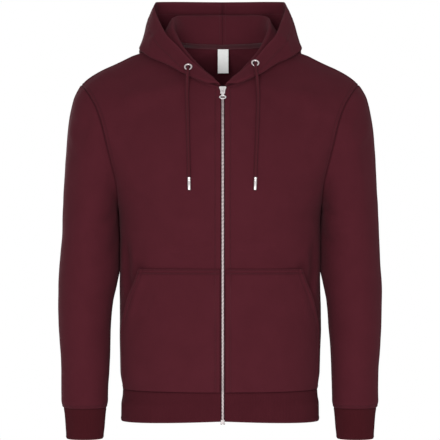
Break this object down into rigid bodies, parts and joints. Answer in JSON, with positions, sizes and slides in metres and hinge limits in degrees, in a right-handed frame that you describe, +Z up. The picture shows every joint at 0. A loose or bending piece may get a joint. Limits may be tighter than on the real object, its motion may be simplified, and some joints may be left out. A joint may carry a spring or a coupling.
{
  "type": "zip up hoodie",
  "caption": "Plain fleece zip up hoodie, filled out as worn with its hood lying open round the neck, rib cuffs and hem, kangaroo pockets and a drawcord.",
  "frame": {"origin": "between the shoulders, at the height of their inner ends, where the hollow garment is held as it would be by a wearer", "axes": "+Z up, -Y towards the zip side that is seen from the front, +X towards the wearer's left"},
  "size_m": [0.608, 0.2907, 0.832],
  "materials": {
    "fleece": "matt brushed-back cotton fleece",
    "rib": "ribbed knit",
    "tape": "woven tape",
    "cord": "round braid",
    "label": "bare woven label, with nothing on it",
    "metal": "polished, silver-coloured"
  },
  "bodies": {
    "garment": {"back": "fleece", "front_left": "fleece", "front_right": "fleece", "sleeve_left": "fleece", "sleeve_right": "fleece", "cuff_left": "rib", "cuff_right": "rib", "hem_band": "rib", "pocket_left": "fleece", "pocket_right": "fleece", "hood_left": "fleece", "hood_right": "fleece", "neck_tape": "tape", "neck_label": "label", "zip_tape_left": "tape", "zip_tape_right": "tape", "zip_chain": "metal", "zip_slider": "metal", "zip_bottom": "metal", "eyelet_left": "metal", "eyelet_right": "metal", "drawcord_left": "cord", "drawcord_right": "cord", "cord_tip_left": "metal", "cord_tip_right": "metal"},
    "pull_tab": {"zip_pull": "metal"}
  },
  "joints": [
    {"name": "pull_hinge", "type": "hinge", "parent": "garment", "child": "pull_tab", "pos_m": [0.005, -0.10338, -0.07884], "axis": [-1, 0, 0], "range_deg": [0, 150]}
  ]
}
